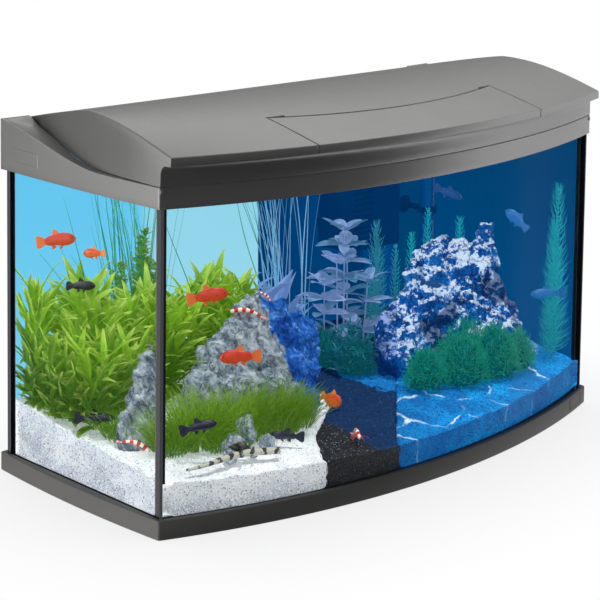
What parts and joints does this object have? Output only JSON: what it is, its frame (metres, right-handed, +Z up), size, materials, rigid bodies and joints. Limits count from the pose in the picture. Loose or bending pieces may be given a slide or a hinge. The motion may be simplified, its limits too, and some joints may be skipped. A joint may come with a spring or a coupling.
{
  "type": "bow-front glass aquarium",
  "caption": "Bow-front glass aquarium with plastic base trim, hinged lit hood, front feeding flap, internal filter, heater and a planted gravel bed.",
  "frame": {"origin": "centre of the whole object's footprint, on the resting plane", "axes": "+X along the width to the right as seen from the front, -Y the bowed front, +Y the flat rear, +Z up"},
  "size_m": [0.7784, 0.3773, 0.4655],
  "materials": {
    "trim_plastic": "anthracite moulded plastic with a fine satin grain",
    "black_plastic": "black moulded plastic, satin",
    "glass": "clear float glass, polished edges",
    "silicone": "black silicone, smooth",
    "foam": "closed-cell foam",
    "film": "printed film, plain blue shades",
    "white_gravel": "fine white gravel with dark grains",
    "black_gravel": "fine black gravel",
    "blue_gravel": "fine blue gravel",
    "grey_rock": "rough blue-grey stone",
    "blue_rock": "rough stone, blue with white crests",
    "green_leaf": "soft leaves",
    "blue_leaf": "soft leaves",
    "sponge": "open-cell filter foam",
    "ceramic": "unglazed",
    "rubber": "smooth rubber",
    "dial": "moulded plastic",
    "steel": "stainless wire and screws",
    "reflector": "bright folded sheet",
    "board": "white circuit board",
    "day_led": "phosphor lens",
    "night_led": "blue lens",
    "lens": "clear cover strip"
  },
  "bodies": {
    "tank": {"base_frame": "trim_plastic", "foam_strip": "foam", "bottom_pane": "glass", "front_pane": "glass", "rear_pane": "glass", "left_pane": "glass", "right_pane": "glass", "corner_seams": "silicone", "bottom_seam": "silicone", "backdrop_film": "film", "top_frame": "trim_plastic", "gravel_white": "white_gravel", "gravel_black": "black_gravel", "gravel_blue": "blue_gravel", "rock_left": "grey_rock", "rock_right": "blue_rock", "pebbles": "grey_rock", "plant_broadleaf": "green_leaf", "plant_vallisneria": "green_leaf", "plant_grass": "green_leaf", "plant_stems": "blue_leaf", "plant_feather": "blue_leaf", "plant_moss": "blue_leaf", "filter_housing": "black_plastic", "filter_cover": "black_plastic", "filter_cartridge": "black_plastic", "filter_sponge": "sponge", "pump_body": "black_plastic", "impeller_shaft": "ceramic", "filter_suction_cups": "rubber", "pump_cable": "rubber", "heater_tube": "glass", "heater_core": "ceramic", "heater_cap": "black_plastic", "heater_clips": "rubber", "heater_cable": "rubber", "hinge_brackets": "black_plastic", "hinge_screws": "steel", "hinge_pins": "steel"},
    "lid": {"lid_shell": "trim_plastic", "hinge_arms": "black_plastic", "lamp_housing": "black_plastic", "lamp_reflector": "reflector", "led_board": "board", "day_leds": "day_led", "night_leds": "night_led", "lamp_lens": "lens", "lamp_end_caps": "black_plastic", "lamp_brackets": "black_plastic", "lamp_cable": "rubber", "flap_lugs": "black_plastic", "flap_pins": "steel"},
    "flap": {"feeding_flap": "trim_plastic", "flap_bushes": "black_plastic"},
    "mode_button": {"mode_button": "dial"},
    "impeller": {"impeller": "black_plastic"},
    "outlet": {"outlet_nozzle": "black_plastic"},
    "flow_knob": {"flow_knob": "black_plastic"},
    "heater_dial": {"heater_dial": "dial"}
  },
  "joints": [
    {"name": "lid_hinge", "type": "hinge", "parent": "tank", "child": "lid", "pos_m": [0, 0.178, 0.424], "axis": [-1, 0, 0], "range_deg": [0, 75]},
    {"name": "flap_hinge", "type": "hinge", "parent": "lid", "child": "flap", "pos_m": [0, -0.0893, 0.45109], "axis": [-1, 0, 0], "range_deg": [0, 80]},
    {"name": "mode_button_press", "type": "slide", "parent": "lid", "child": "mode_button", "axis": [0, 1, 0], "range_m": [0, 0.0015], "stiffness_N_per_m": 300},
    {"name": "impeller_spin", "type": "hinge", "parent": "tank", "child": "impeller", "pos_m": [0.215, 0.136, 0.31], "axis": [0, 0, 1], "continuous": true},
    {"name": "outlet_swivel", "type": "hinge", "parent": "tank", "child": "outlet", "pos_m": [0.215, 0.106, 0.344], "axis": [0, 1, 0], "range_deg": [-60, 60]},
    {"name": "flow_knob_turn", "type": "hinge", "parent": "tank", "child": "flow_knob", "pos_m": [0.215, 0.136, 0.38], "axis": [0, 0, 1], "range_deg": [0, 90]},
    {"name": "heater_dial_turn", "type": "hinge", "parent": "tank", "child": "heater_dial", "pos_m": [0.326, 0.132, 0.38], "axis": [0, 0, 1], "range_deg": [0, 270]}
  ]
}
